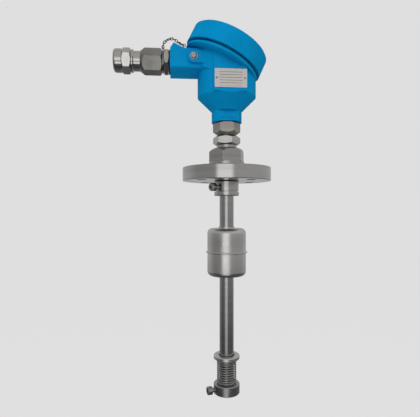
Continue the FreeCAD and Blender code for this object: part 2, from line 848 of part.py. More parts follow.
def tab_hole():
    """Centre of the lug's hole."""
    a = math.radians(tab_azimuth)
    t = gland_neck_t0 + gland_neck_l / 2
    return vec(boss_face_x - t, -tab_hole_r * math.sin(a), gland_z + tab_hole_r * math.cos(a))


def roof_z(x):
    """Height of the boss roof."""
    tilt = math.radians(cover_tilt)
    return cover_z - boss_roof_drop / math.cos(tilt) - (x - cover_x) * math.tan(tilt)


def on_roof(shape):
    """Stand a shape modelled about Z on the boss roof, square to it, at the eye's place."""
    copy = shape.copy()
    copy.rotate(ORIGIN, vec(0, 1, 0), cover_tilt)
    copy.translate(vec(eye_x, eye_y, roof_z(eye_x)))
    return copy


def eye_centre():
    tilt = math.radians(cover_tilt)
    up = eye_stem + eye_r
    return vec(eye_x + up * math.sin(tilt), eye_y, roof_z(eye_x) + up * math.cos(tilt))


def chain_route():
    """Smooth line of the chain from the lug, over the nose of the boss and along its roof to the eye."""
    a = math.radians(tab_azimuth)
    lean = math.radians(tab_lean)
    tilt = math.radians(cover_tilt)
    nose = boss_face_x + boss_nose
    middle = (nose + eye_x) / 2
    leave = vec(math.sin(lean), -math.cos(lean) * math.sin(a), math.cos(lean) * math.cos(a))
    arrive = vec(math.cos(tilt), 0, -math.sin(tilt))
    points = [
        tab_hole(),
        tab_hole().add(leave * link_l),
        vec(nose, chain_front_y, roof_z(nose) + chain_over_nose),
        vec(middle, chain_front_y, roof_z(middle) + chain_over_roof),
        eye_centre().sub(arrive * link_l),
        eye_centre(),
    ]
    curve = Part.BSplineCurve()
    curve.interpolate(Points=points, InitialTangent=leave, FinalTangent=arrive)
    return curve.toShape()


def chain_link():
    """Oval link along X, lying flat in the XY plane."""
    bend_r = (link_w - link_wire) / 2
    half = (link_l - link_w) / 2
    ends = []
    for side in (-1, 1):
        bend = Part.makeTorus(bend_r, link_wire / 2)
        keep = block(min(0, side * link_w), max(0, side * link_w), -link_w, link_w, -link_wire, link_wire)
        bend = bend.common(keep)
        bend.translate(vec(side * half, 0, 0))
        ends.append(bend)
    sides = [
        Part.makeCylinder(link_wire / 2, 2 * half, vec(-half, side * bend_r, 0), vec(1, 0, 0))
        for side in (-1, 1)
    ]
    return ends[0].fuse([ends[1]] + sides).removeSplitter()


def retaining_chain():
    """Links threaded through each other along the route, every second one turned on edge.

    The flat side turns from the lug's normal at the first link to the eye's at the last.
    """
    route = chain_route()
    first = (link_l - link_wire) / 2
    last = first + eye_r / 4
    pitch = (route.Length - first - last) / (link_count - 1)
    link = chain_link()
    placed = []
    for i in range(link_count):
        u = route.Curve.parameterAtDistance(first + i * pitch, route.FirstParameter)
        along = route.Curve.tangent(u)[0]
        along.normalize()
        share = i / (link_count - 1)
        across = vec(share - 1, -share, 0)
        across = across.sub(along * across.dot(along))
        across.normalize()
        normal = across.cross(along)
        if i % 2:
            across, normal = normal, across.negative()
        place = FreeCAD.Matrix(
            along.x, across.x, -normal.x, 0,
            along.y, across.y, -normal.y, 0,
            along.z, across.z, -normal.z, 0,
            0, 0, 0, 1,
        )
        copy = link.copy()
        copy.Placement = FreeCAD.Placement(place)
        copy.translate(route.Curve.value(u))
        placed.append(copy)
    return Part.makeCompound(placed)


def chain_eye():
    """Eye screw in the boss roof."""
    ring = Part.makeTorus(eye_r, eye_wire / 2)
    ring.rotate(ORIGIN, vec(1, 0, 0), 90)
    ring.translate(vec(0, 0, eye_stem + eye_r))
    stem = rod(eye_wire / 2, -2.5, eye_stem)
    foot = rod(1.6, 0, 0.8)
    return on_roof(ring.fuse([stem, foot]).removeSplitter())


def eye_hole():
    return on_roof(rod(eye_wire / 2 + fit, -3, 2))


# Collars and their bolts

def collar_bolt(collar_r_out, out, azimuth, z):
    """Cap bolt with a hexagon socket, pressing on the stem through a collar."""
    head_from = collar_r_out + out
    head_r = collar_bolt_head_d / 2
    head_end = head_from + collar_bolt_head_h
    head = turned(
        (0, head_from), (head_r, head_from), (head_r, head_end - 0.6),
        (head_r - 0.6, head_end), (0, head_end),
    )
    socket = hexagon(collar_bolt_socket, head_end - collar_bolt_socket_depth, head_end + 1)
    bolt = head.fuse(rod(collar_bolt_d / 2, stem_r + fit, head_from)).removeSplitter().cut(socket)
    return radial(bolt, azimuth, z)


def bolt_hole(azimuth, z):
    return radial(rod(collar_bolt_d / 2 + fit, stem_r - 2, upper_collar_d), azimuth, z)


def upper_collar():
    r = upper_collar_d / 2
    foot_r = upper_collar_foot_d / 2
    foot_top = upper_collar_z + upper_collar_foot_h
    groove_top = foot_top + upper_collar_groove
    groove_r = r - upper_collar_groove_depth
    edge = 0.7
    inner = stem_r + fit
    ring = turned(
        (inner, upper_collar_z), (foot_r - edge, upper_collar_z), (foot_r, upper_collar_z + edge),
        (foot_r, foot_top), (groove_r, foot_top), (groove_r, groove_top), (r, groove_top),
        (r, upper_collar_top_z - edge), (r - edge, upper_collar_top_z), (inner, upper_collar_top_z),
    )
    return ring.cut(bolt_hole(upper_screw_azimuth, upper_bolt_z))


def upper_collar_bolt():
    return collar_bolt(upper_collar_d / 2, upper_screw_out, upper_screw_azimuth, upper_bolt_z)


def lower_collar():
    r = lower_collar_d / 2
    edge = 0.7
    inner = stem_r + fit
    ring = turned(
        (inner, lower_collar_z), (r - edge, lower_collar_z), (r, lower_collar_z + edge),
        (r, lower_collar_top_z - edge), (r - edge, lower_collar_top_z), (inner, lower_collar_top_z),
    )
    return ring.cut(bolt_hole(lower_screw_azimuth, lower_bolt_z))


def lower_collar_bolt():
    return collar_bolt(lower_collar_d / 2, lower_screw_out, lower_screw_azimuth, lower_bolt_z)


# Float

def float_half(sign):
    """Pressed half shell with a rounded shoulder and half of the weld bead; sign is 1 above, -1 below."""
    r = float_d / 2
    tube_r = float_tube_d / 2 + fit
    top = float_h / 2
    bend = float_shoulder
    diag = math.sqrt(0.5)
    inner_bend = bend - float_wall

    def at(radius, height):
        return (radius, float_mid_z + sign * height)

    return turned(
        at(tube_r, top), at(r - bend, top),
        (at(r - bend + bend * diag, top - bend + bend * diag), at(r, top - bend)),
        at(r, float_seam_t / 2), at(float_seam_d / 2, float_seam_t / 4), at(float_seam_d / 2, 0),
        at(r - float_wall, 0), at(r - float_wall, top - bend),
        (at(r - bend + inner_bend * diag, top - bend + inner_bend * diag), at(r - bend, top - float_wall)),
        at(tube_r, top - float_wall),
    )


def float_upper_shell():
    return float_half(1)


def float_lower_shell():
    return float_half(-1)


def float_tube():
    half = float_h / 2 + float_tube_proud
    outer = float_tube_d / 2
    return tube(outer, outer - float_tube_wall, float_mid_z - half, float_mid_z + half)


def float_magnet():
    half = magnet_h / 2
    return tube(magnet_d / 2, float_tube_d / 2 + magnet_gap, float_mid_z - half, float_mid_z + half)


# Buffer washer and spring

def buffer_washer():
    r = washer_d / 2
    lip_r = washer_lip_d / 2
    bore_r = washer_bore_d / 2
    edge = 0.8
    low = washer_top_z - washer_t
    return turned(
        (bore_r, washer_low_z), (lip_r - 0.4, washer_low_z), (lip_r, washer_low_z + 0.4), (lip_r, low),
        (r - edge, low), (r, low + edge), (r, washer_top_z - edge), (r - edge, washer_top_z),
        (bore_r, washer_top_z),
    )


def buffer_spring():
    """Round wire coil, swept along short straight steps with mitred joints."""
    low = lower_collar_top_z + spring_wire / 2
    high = washer_low_z - spring_top_gap - spring_wire / 2
    mean_r = (spring_od - spring_wire) / 2
    count = spring_turns * spring_steps
    points = []
    for i in range(count + 1):
        a = 2 * math.pi * i / spring_steps
        points.append(vec(mean_r * math.cos(a), mean_r * math.sin(a), low + (high - low) * i / count))
    section = Part.Wire(Part.makeCircle(spring_wire / 2, points[0], points[1].sub(points[0])))
    right_corner = 1
    return Part.makePolygon(points).makePipeShell([section], True, False, right_corner)


NODES = {
    "flange": flange,
    "stem_tube": stem_tube,
    "stem_plug": stem_plug,
    "reed_board": reed_board,
    "reed_switches": reed_switches,
    "reed_leads": reed_leads,
    "fitting_body": fitting_body,
    "ferrule": ferrule,
    "clamp_nut": clamp_nut,
    "head_adaptor": head_adaptor,
    "head_housing": head_housing,
    "cover": cover,
    "cover_seal": cover_seal,
    "terminal_block": terminal_block,
    "terminal_clamps": terminal_clamps,
    "terminal_screws": terminal_screws,
    "block_screws": block_screws,
    "inner_earth_screw": inner_earth_screw,
    "earth_screw": earth_screw,
    "earth_washer": earth_washer,
    "name_plate": name_plate,
    "plate_rivets": plate_rivets,
    "gland_washer": gland_washer,
    "gland_locknut": gland_locknut,
    "gland_body": gland_body,
    "gland_bush": gland_bush,
    "gland_ring": gland_ring,
    "gland_nut": gland_nut,
    "chain_tab": chain_tab,
    "retaining_chain": retaining_chain,
    "chain_eye": chain_eye,
    "upper_collar": upper_collar,
    "upper_collar_bolt": upper_collar_bolt,
    "lower_collar": lower_collar,
    "lower_collar_bolt": lower_collar_bolt,
    "float_upper_shell": float_upper_shell,
    "float_lower_shell": float_lower_shell,
    "float_tube": float_tube,
    "float_magnet": float_magnet,
    "buffer_washer": buffer_washer,
    "buffer_spring": buffer_spring,
}


def main():
    os.makedirs("parts", exist_ok=True)
    for name, make in NODES.items():
        shape = make()
        if not shape.isValid():
            raise RuntimeError(name + " is not a valid shape")
        shape.exportStep("parts/" + name + ".step")
        print(name, len(shape.Solids), round(shape.Volume, 1))


main()
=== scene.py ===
import bpy
import math
import numpy as np
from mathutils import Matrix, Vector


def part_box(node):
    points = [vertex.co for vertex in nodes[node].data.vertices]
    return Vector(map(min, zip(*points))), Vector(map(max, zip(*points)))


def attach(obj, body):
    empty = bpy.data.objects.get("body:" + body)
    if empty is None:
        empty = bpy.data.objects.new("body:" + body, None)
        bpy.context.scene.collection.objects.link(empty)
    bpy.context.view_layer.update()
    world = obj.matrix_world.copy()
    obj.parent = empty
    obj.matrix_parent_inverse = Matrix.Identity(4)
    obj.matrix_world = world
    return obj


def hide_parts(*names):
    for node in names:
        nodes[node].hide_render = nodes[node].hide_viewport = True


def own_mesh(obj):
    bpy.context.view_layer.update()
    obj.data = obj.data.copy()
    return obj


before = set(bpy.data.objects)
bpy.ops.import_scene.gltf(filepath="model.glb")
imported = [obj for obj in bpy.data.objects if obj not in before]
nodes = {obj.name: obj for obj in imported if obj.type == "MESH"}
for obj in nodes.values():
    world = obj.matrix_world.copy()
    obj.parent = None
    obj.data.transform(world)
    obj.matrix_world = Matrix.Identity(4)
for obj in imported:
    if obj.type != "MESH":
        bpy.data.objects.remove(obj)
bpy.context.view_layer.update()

# Axes of the gland and of the cover, in metres and radians

GLAND_Z = 0.1334
COVER_TILT = math.radians(25.5)
COVER_ORIGIN = (-0.005, 0.0, 0.1352)

# Camera, fitted to the photograph

CAMERA_PLACE = (-0.05861, -0.45271, -0.03113)
CAMERA_TURN = math.radians(-5)
CAMERA_LENS = 34.29
SENSOR_WIDTH = 36.0

# Spring, bolt threads and weld beads, in metres

SPRING_WIRE = 0.00135
SPRING_OUTSIDE = 0.0222
SPRING_TURNS = 10
SPRING_FLAT_TURNS = 0.8
STEPS_PER_TURN = 56
WIRE_SIDES = 14
THREAD_PITCH = 0.0009
THREAD_DEPTH = 0.00032
THREAD_SINK = 0.00005
BOLT_SHANK_R = 0.0023
FLOAT_TUBE_R = 0.009
FLOAT_TOP = -0.0554
FLOAT_BOTTOM = -0.1056
WELD_R = 0.00055
WELD_OUT = 0.0001
WELD_RIPPLES = 46

# Ruled rows on the plate and strips on the board, in metres

ROW_PITCH = 0.0029
ROW_START = 0.0003
ROW_HALF_THICK = 0.00028
ROW_HALF_LENGTH = 0.0122
ROWS_LOW = 0.0018
ROWS_HIGH = 0.0182
STRIP_X = 0.0042
STRIP_HALF_WIDTH = 0.0005

# Light and dark tone of each metal

STEEL = ((0.52, 0.505, 0.485), (0.46, 0.45, 0.43))
GREY_STEEL = ((0.42, 0.42, 0.415), (0.36, 0.36, 0.355))
PLATED = ((0.58, 0.56, 0.53), (0.50, 0.485, 0.455))
FITTING_STEEL = ((0.47, 0.455, 0.44), (0.40, 0.39, 0.375))
BROWN_STEEL = ((0.36, 0.34, 0.31), (0.30, 0.285, 0.265))
PALE_STEEL = ((0.66, 0.65, 0.64), (0.58, 0.57, 0.56))
FLOAT_STEEL = ((0.66, 0.645, 0.62), (0.58, 0.57, 0.55))
BOLT_STEEL = ((0.40, 0.40, 0.395), (0.32, 0.32, 0.315))
SPRING_STEEL = ((0.44, 0.43, 0.415), (0.40, 0.39, 0.38))
WELD_METAL = ((0.40, 0.385, 0.36), (0.26, 0.25, 0.24))
CHAIN_METAL = ((0.27, 0.255, 0.235), (0.19, 0.18, 0.165))
EARTH_STEEL = ((0.62, 0.61, 0.59), (0.52, 0.51, 0.50))
SCREW_STEEL = ((0.55, 0.54, 0.52), (0.46, 0.45, 0.44))
RIVET_METAL = ((0.60, 0.59, 0.58), (0.52, 0.51, 0.50))
BRASS = ((0.70, 0.50, 0.21), (0.60, 0.42, 0.17))

# The two tones of each coat, moulding, glass, board and plate

BLUE = ((0.0010, 0.236, 0.50), (0.0006, 0.218, 0.465))
# Lighter blue painted along the coat's edges as a painted highlight
BLUE_EDGE_HIGHLIGHT = (0.008, 0.33, 0.62)
BLACK_RUBBER = ((0.012, 0.012, 0.013), (0.02, 0.02, 0.021))
MAGNET_GREY = ((0.055, 0.055, 0.057), (0.075, 0.075, 0.078))
SLIP_PLASTIC = ((0.62, 0.61, 0.57), (0.68, 0.67, 0.63))
DARK_MOULDING = ((0.018, 0.018, 0.019), (0.028, 0.028, 0.03))
RED_SLEEVE = ((0.36, 0.02, 0.015), (0.42, 0.03, 0.02))
GLASS = ((0.80, 0.90, 0.84), (0.88, 0.95, 0.90))
BOARD_GREEN = ((0.010, 0.085, 0.028), (0.014, 0.105, 0.034))
STRIP_GREEN = (0.055, 0.22, 0.075)
PLATE_METAL = ((0.47, 0.44, 0.415), (0.53, 0.50, 0.475))
ROW_INK = (0.10, 0.085, 0.085)

# Room and light: grey levels, and pairs of an elevation in degrees and a grey level

PAPER = 0.753
AMBIENT = 0.70
FLOOR_GREY = 0.75
EVEN_SHARE = 0.92
FRONT_BAND = (
    (-90, 0.08), (-50, 0.1), (-44, 0.8), (-38, 1.9), (-32, 1.1), (-25, 0.4), (-21, 0.5), (-16, 0.8),
    (-12, 0.95), (-6, 1.3), (5, 1.2), (12, 0.8), (20, 0.55), (90, 0.55),
)
SIDES = ((-90, 0.07), (-22, 0.09), (-15, 0.2), (-11, 0.28), (0, 0.46), (20, 0.55), (90, 0.6))
BEHIND = ((-90, 0.12), (-22, 0.22), (-8, 0.45), (0, 0.5), (90, 0.5))
LEFT_SHADE = (0.03, 0.03, 0.03)
STRIP_LEFT = (math.radians(-36), math.radians(-27))
STRIP_RIGHT = (math.radians(5), math.radians(13))
LIT_POINT = (0.0, 0.0, 0.02)


# Node helpers

def link(tree, source, target):
    tree.links.new(source, target)


def add(tree, kind, **settings):
    """New node of a kind, with its settings."""
    made = tree.nodes.new(kind)
    for name, value in settings.items():
        setattr(made, name, value)
    return made


def calc(tree, operation, a, b=None):
    """Math node; a and b are sockets or numbers."""
    made = add(tree, "ShaderNodeMath", operation=operation)
    for socket, value in zip(made.inputs, (a, b)):
        if value is None:
            continue
        if isinstance(value, (int, float)):
            socket.default_value = value
        else:
            link(tree, value, socket)
    return made.outputs[0]


def spread(tree, value, span, result=(0.0, 1.0)):
    """Map Range node from one span to another, held at the ends."""
    made = add(tree, "ShaderNodeMapRange")
    link(tree, value, made.inputs["Value"])
    made.inputs["From Min"].default_value = span[0]
    made.inputs["From Max"].default_value = span[1]
    made.inputs["To Min"].default_value = result[0]
    made.inputs["To Max"].default_value = result[1]
    return made.outputs["Result"]


def noise(tree, vector, scale, detail, roughness=0.5):
    """Noise Texture node; its value over the vector."""
    made = add(tree, "ShaderNodeTexNoise")
    link(tree, vector, made.inputs["Vector"])
    made.inputs["Scale"].default_value = scale
    made.inputs["Detail"].default_value = detail
    made.inputs["Roughness"].default_value = roughness
    return made.outputs["Fac"]


def mix_colour(tree, amount, first, second):
    """Mix Color node between two colours, by a socket."""
    made = add(tree, "ShaderNodeMix", data_type="RGBA")
    link(tree, amount, made.inputs["Factor"])
    for socket, value in ((made.inputs[6], first), (made.inputs[7], second)):
        if isinstance(value, tuple):
            socket.default_value = (*value, 1.0)
        else:
            link(tree, value, socket)
    return made.outputs[2]


def split(tree, vector):
    """The three parts of a vector."""
    parts = add(tree, "ShaderNodeSeparateXYZ")
    link(tree, vector, parts.inputs[0])
    return parts.outputs


def group(name, inputs, outputs):
    """Empty shader group with named float or vector sockets."""
    tree = bpy.data.node_groups.new(name, "ShaderNodeTree")
    for label, kind, default in inputs:
        socket = tree.interface.new_socket(name=label, in_out="INPUT", socket_type="NodeSocket" + kind)
        if default is not None:
            socket.default_value = default
    for label, kind in outputs:
        tree.interface.new_socket(name=label, in_out="OUTPUT", socket_type="NodeSocket" + kind)
    return tree, add(tree, "NodeGroupInput"), add(tree, "NodeGroupOutput")


# Effects shared by the materials

def rounded_edge_group():
    """Normal that rolls over sharp edges, and a mask of those edges."""
    tree, given, result = group(
        "Rounded_Edge", [("Radius", "Float", 0.0004)], [("Normal", "Vector"), ("Edge", "Float")])
    bevel = add(tree, "ShaderNodeBevel", samples=4)
    link(tree, given.outputs["Radius"], bevel.inputs["Radius"])
    flat = add(tree, "ShaderNodeNewGeometry")
    dot = add(tree, "ShaderNodeVectorMath", operation="DOT_PRODUCT")
    link(tree, bevel.outputs["Normal"], dot.inputs[0])
    link(tree, flat.outputs["Normal"], dot.inputs[1])
    link(tree, bevel.outputs["Normal"], result.inputs["Normal"])
    link(tree, spread(tree, dot.outputs["Value"], (0.995, 0.86)), result.inputs["Edge"])
    return tree


def lathe_marks_group():
    """Fine rings about the local Z axis: noise of radius and height, nearly the same all round."""
    tree, given, result = group(
        "Lathe_Marks",
        [("Vector", "Vector", None), ("Rings per metre", "Float", 2500.0)],
        [("Height", "Float"), ("Shade", "Float"), ("Radius", "Float")],
    )
    x, y, z = split(tree, given.outputs["Vector"])
    radius = calc(tree, "SQRT", calc(tree, "ADD", calc(tree, "POWER", x, 2.0), calc(tree, "POWER", y, 2.0)))
    rings = given.outputs["Rings per metre"]
    place = add(tree, "ShaderNodeCombineXYZ")
    link(tree, calc(tree, "MULTIPLY", radius, rings), place.inputs[0])
    link(tree, calc(tree, "MULTIPLY", x, 60.0), place.inputs[1])
    link(tree, calc(tree, "MULTIPLY", z, rings), place.inputs[2])
    fine = noise(tree, place.outputs[0], scale=1.0, detail=2.0)
    broad = noise(tree, place.outputs[0], scale=0.12, detail=2.0)
    link(tree, fine, result.inputs["Height"])
    link(tree, radius, result.inputs["Radius"])
    link(tree, spread(tree, broad, (0.35, 0.65)), result.inputs["Shade"])
    return tree


def cast_skin_group():
    """Skin of a coated casting or a moulding: orange peel over a slow swell."""
    tree, given, result = group(
        "Cast_Skin", [("Vector", "Vector", None)], [("Height", "Float"), ("Shade", "Float")])
    here = given.outputs["Vector"]
    peel = noise(tree, here, scale=1100.0, detail=2.0)
    swell = noise(tree, here, scale=210.0, detail=3.0)
    slow = noise(tree, here, scale=38.0, detail=3.0)
    link(tree, calc(tree, "ADD", calc(tree, "MULTIPLY", peel, 0.45), swell), result.inputs["Height"])
    link(tree, spread(tree, slow, (0.38, 0.62)), result.inputs["Shade"])
    return tree


def handling_group():
    """Soft patches where hands and packing have dulled the surface."""
    tree, given, result = group("Handling", [("Vector", "Vector", None)], [("Patch", "Float")])
    here = given.outputs["Vector"]
    large = noise(tree, here, scale=55.0, detail=4.0, roughness=0.6)
    small = noise(tree, here, scale=420.0, detail=3.0, roughness=0.6)
    both = calc(tree, "ADD", calc(tree, "MULTIPLY", large, 0.7), calc(tree, "MULTIPLY", small, 0.3))
    link(tree, spread(tree, both, (0.4, 0.62)), result.inputs["Patch"])
    return tree


SHARED = {
    "edge": rounded_edge_group(),
    "lathe": lathe_marks_group(),
    "cast": cast_skin_group(),
    "handling": handling_group(),
}


def place_group(tree, key, vector=None, **values):
    """Shared group placed in a material, with its vector and its own values."""
    made = add(tree, "ShaderNodeGroup", node_tree=SHARED[key])
    if vector is not None:
        link(tree, vector, made.inputs["Vector"])
    for label, value in values.items():
        made.inputs[label.replace("_", " ")].default_value = value
    return made


def coordinates(tree, about):
    """Object coordinates, turned so that local Z runs along the stem, the gland or the cover."""
    source = add(tree, "ShaderNodeTexCoord").outputs["Object"]
    if about == "stem":
        return source
    turn = add(tree, "ShaderNodeMapping", vector_type="TEXTURE")
    link(tree, source, turn.inputs["Vector"])
    if about == "gland":
        turn.inputs["Location"].default_value = (0, 0, GLAND_Z)
        turn.inputs["Rotation"].default_value = (0, math.radians(-90), 0)
    else:
        turn.inputs["Location"].default_value = COVER_ORIGIN
        turn.inputs["Rotation"].default_value = (0, COVER_TILT, 0)
    return turn.outputs["Vector"]


def new_material(name):
    material = bpy.data.materials.new(name)
    material.use_nodes = True
    tree = material.node_tree
    return material, tree, tree.nodes["Principled BSDF"]


def bump(tree, shader, height, normal, strength, distance):
    """Bump node between a height, a normal and the shader's Normal."""
    made = add(tree, "ShaderNodeBump")
    made.inputs["Strength"].default_value = strength
    made.inputs["Distance"].default_value = distance
    link(tree, height, made.inputs["Height"])
    link(tree, normal, made.inputs["Normal"])
    link(tree, made.outputs["Normal"], shader.inputs["Normal"])


# Finishes

def scaled(colour, factor):
    return tuple(min(1.0, c * factor) for c in colour)


def machined_steel(
    name, tones, about="stem", rough=(0.22, 0.36), rings=2600.0, relief=0.05, radius=0.0003,
    flats_beyond=None,
):
    """Turned or milled stainless steel with tool marks, dull patches and rolled edges, whose colour is
    painted lighter: part edge wear, part painted highlight.

    Beyond the radius flats_beyond the bar's own drawn flats stay, darker and rougher than what is turned.
    """
    light, dark = tones
    material, tree, shader = new_material(name)
    here = coordinates(tree, about)
    marks = place_group(tree, "lathe", here, Rings_per_metre=rings)
    edge = place_group(tree, "edge", Radius=radius)
    on_edge = edge.outputs["Edge"]
    patch = place_group(tree, "handling", here).outputs["Patch"]
    tone = mix_colour(tree, marks.outputs["Shade"], light, dark)
    # Edges painted lighter than the steel: part edge wear, part painted highlight.
    metal = mix_colour(tree, calc(tree, "MULTIPLY", on_edge, 0.5), tone, scaled(light, 1.25))
    sheen = spread(tree, patch, (0.0, 1.0), rough)
    if flats_beyond:
        drawn = calc(tree, "GREATER_THAN", marks.outputs["Radius"], flats_beyond)
        dull = mix_colour(tree, patch, scaled(light, 0.60), scaled(dark, 0.54))
        away_from_edge = calc(tree, "SUBTRACT", 1.0, on_edge)
        metal = mix_colour(tree, calc(tree, "MULTIPLY", drawn, away_from_edge), metal, dull)
        sheen = calc(tree, "ADD", sheen, calc(tree, "MULTIPLY", drawn, 0.16))
    link(tree, metal, shader.inputs["Base Color"])
    shader.inputs["Metallic"].default_value = 1.0
    link(tree, sheen, shader.inputs["Roughness"])
    bump(tree, shader, marks.outputs["Height"], edge.outputs["Normal"], strength=relief, distance=0.00002)
    return material


def blue_coat(name, about="stem"):
    """Satin powder coat on cast aluminium, with a lighter blue painted along the edges as a painted
    highlight.
    """
    material, tree, shader = new_material(name)
    here = coordinates(tree, about)
    skin = place_group(tree, "cast", here)
    edge = place_group(tree, "edge", Radius=0.0008)
    patch = place_group(tree, "handling", here).outputs["Patch"]
    tone = mix_colour(tree, skin.outputs["Shade"], *BLUE)
    # Edges painted lighter blue: a painted highlight.
    coat = mix_colour(tree, calc(tree, "MULTIPLY", edge.outputs["Edge"], 0.35), tone, BLUE_EDGE_HIGHLIGHT)
    link(tree, coat, shader.inputs["Base Color"])
    link(tree, spread(tree, patch, (0.0, 1.0), (0.36, 0.48)), shader.inputs["Roughness"])
    shader.inputs["Coat Weight"].default_value = 0.04
    shader.inputs["Specular IOR Level"].default_value = 0.0
    shader.inputs["Coat Roughness"].default_value = 0.25
    bump(tree, shader, skin.outputs["Height"], edge.outputs["Normal"], strength=0.22, distance=0.00012)
    return material


def moulded(name, tones, rough, about="stem"):
    """Moulded plastic or rubber with a fine matt grain."""
    material, tree, shader = new_material(name)
    here = coordinates(tree, about)
    skin = place_group(tree, "cast", here)
    edge = place_group(tree, "edge", Radius=0.0003)
    patch = place_group(tree, "handling", here).outputs["Patch"]
    link(tree, mix_colour(tree, skin.outputs["Shade"], *tones), shader.inputs["Base Color"])
    link(tree, spread(tree, patch, (0.0, 1.0), rough), shader.inputs["Roughness"])
    bump(tree, shader, skin.outputs["Height"], edge.outputs["Normal"], strength=0.3, distance=0.00005)
    return material


def clear_glass(name):
    """Clear, faintly green glass with drawn streaks."""
    material, tree, shader = new_material(name)
    here = coordinates(tree, "stem")
    streak = noise(tree, here, scale=700.0, detail=2.0)
    link(tree, mix_colour(tree, streak, *GLASS), shader.inputs["Base Color"])
    link(tree, spread(tree, streak, (0.3, 0.7), (0.04, 0.10)), shader.inputs["Roughness"])
    shader.inputs["Transmission Weight"].default_value = 0.9
    shader.inputs["IOR"].default_value = 1.5
    return material


def circuit_board(name):
    """Green board with two pale conductor strips along it."""
    material, tree, shader = new_material(name)
    here = coordinates(tree, "stem")
    x = split(tree, here)[0]
    off = calc(tree, "ABSOLUTE", calc(tree, "SUBTRACT", calc(tree, "ABSOLUTE", x), STRIP_X))
    strip = calc(tree, "LESS_THAN", off, STRIP_HALF_WIDTH)
    skin = place_group(tree, "cast", here)
    green = mix_colour(tree, skin.outputs["Shade"], *BOARD_GREEN)
    link(tree, mix_colour(tree, strip, green, STRIP_GREEN), shader.inputs["Base Color"])
    link(tree, spread(tree, skin.outputs["Shade"], (0.0, 1.0), (0.32, 0.42)), shader.inputs["Roughness"])
    return material


def ruled_rows(tree, here, low, centre):
    """Mask of short level lines, one for each row of the plate."""
    x, _, z = split(tree, here)
    across = calc(tree, "ABSOLUTE", calc(tree, "SUBTRACT", x, centre.x))
    up = calc(tree, "SUBTRACT", z, low.z)
    step = calc(tree, "MODULO", calc(tree, "SUBTRACT", up, ROW_START), ROW_PITCH)
    row = calc(tree, "ABSOLUTE", calc(tree, "SUBTRACT", step, ROW_PITCH / 2))
    ruled = calc(tree, "LESS_THAN", row, ROW_HALF_THICK)
    inside_x = calc(tree, "LESS_THAN", across, ROW_HALF_LENGTH)
    above = calc(tree, "GREATER_THAN", up, ROWS_LOW)
    below = calc(tree, "LESS_THAN", up, ROWS_HIGH)
    inside = calc(tree, "MULTIPLY", inside_x, calc(tree, "MULTIPLY", above, below))
    return calc(tree, "MULTIPLY", ruled, inside)


def plate_finish(name):
    """Satin plate, blank but for ruled rows, as before anything is stamped on it."""
    material, tree, shader = new_material(name)
    low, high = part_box("name_plate")
    here = coordinates(tree, "stem")
    lines = ruled_rows(tree, here, low, (low + high) / 2)
    brushed = add(tree, "ShaderNodeMapping")
    link(tree, here, brushed.inputs["Vector"])
    brushed.inputs["Scale"].default_value = (60.0, 60.0, 5200.0)
    grain = noise(tree, brushed.outputs["Vector"], scale=1.0, detail=2.0)
    edge = place_group(tree, "edge", Radius=0.00025)
    metal = mix_colour(tree, grain, *PLATE_METAL)
    inked = mix_colour(tree, calc(tree, "MULTIPLY", lines, 0.85), metal, ROW_INK)
    link(tree, inked, shader.inputs["Base Color"])
    shader.inputs["Metallic"].default_value = 0.35
    link(tree, spread(tree, grain, (0.3, 0.7), (0.38, 0.5)), shader.inputs["Roughness"])
    height = calc(tree, "SUBTRACT", grain, lines)
    bump(tree, shader, height, edge.outputs["Normal"], strength=0.3, distance=0.00002)
    return material


def dress(node_names, material):
    """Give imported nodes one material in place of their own."""
    for name in node_names:
        mesh = nodes[name].data
        mesh.materials.clear()
        mesh.materials.append(material)


dress(["head_housing"], blue_coat("blue_housing"))
dress(["cover"], blue_coat("blue_cover", "cover"))
dress(["flange"], machined_steel("flange_steel", STEEL, rings=1600.0, rough=(0.12, 0.2), relief=0.03))
dress(["fitting_body"], machined_steel("fitting_steel", FITTING_STEEL, rough=(0.24, 0.34), radius=0.0008))
dress(["clamp_nut", "ferrule"], machined_steel("nut_steel", PLATED, rough=(0.15, 0.25), relief=0.03))
dress(["head_adaptor"], machined_steel("adaptor_steel", BROWN_STEEL, rough=(0.18, 0.28), relief=0.03))
dress(
    ["stem_tube", "stem_plug"],
    machined_steel("tube_steel", GREY_STEEL, rings=1200.0, rough=(0.19, 0.27), relief=0.008),
)
dress(["lower_collar"], machined_steel("collar_steel", GREY_STEEL))
dress(["upper_collar"], machined_steel("upper_collar_steel", STEEL, rough=(0.2, 0.3)))
dress(["buffer_washer"], machined_steel("washer_steel", PALE_STEEL, rough=(0.26, 0.38)))
BOLT_FINISH = machined_steel("bolt_steel", BOLT_STEEL, rough=(0.2, 0.3))
SPRING_FINISH = machined_steel("spring_wire", SPRING_STEEL, rough=(0.4, 0.46), rings=300.0, relief=0.0)
WELD_FINISH = machined_steel("weld_metal", WELD_METAL, rough=(0.32, 0.5), relief=0.1)
dress(["upper_collar_bolt", "lower_collar_bolt"], BOLT_FINISH)
dress(["buffer_spring"], SPRING_FINISH)
dress(
    ["float_upper_shell", "float_lower_shell", "float_tube"],
    machined_steel("float_steel", FLOAT_STEEL, rings=900.0, rough=(0.26, 0.36), relief=0.06),
)
dress(
    ["gland_locknut", "gland_nut"],
    machined_steel("gland_plating", PLATED, "gland", rough=(0.12, 0.2), relief=0.02),
)
dress(
    ["gland_body"],
    machined_steel("gland_bar", PLATED, "gland", rough=(0.12, 0.2), relief=0.02, flats_beyond=0.0113),
)
dress(
    ["chain_tab", "retaining_chain", "chain_eye"],
    machined_steel("chain_wire", CHAIN_METAL, rough=(0.3, 0.45)),
)
dress(["earth_screw"], machined_steel("earth_screw_steel", EARTH_STEEL, rough=(0.12, 0.2), radius=0.00015))
dress(
    ["earth_washer", "terminal_screws", "block_screws"],
    machined_steel("screw_steel", SCREW_STEEL, rings=5000.0),
)
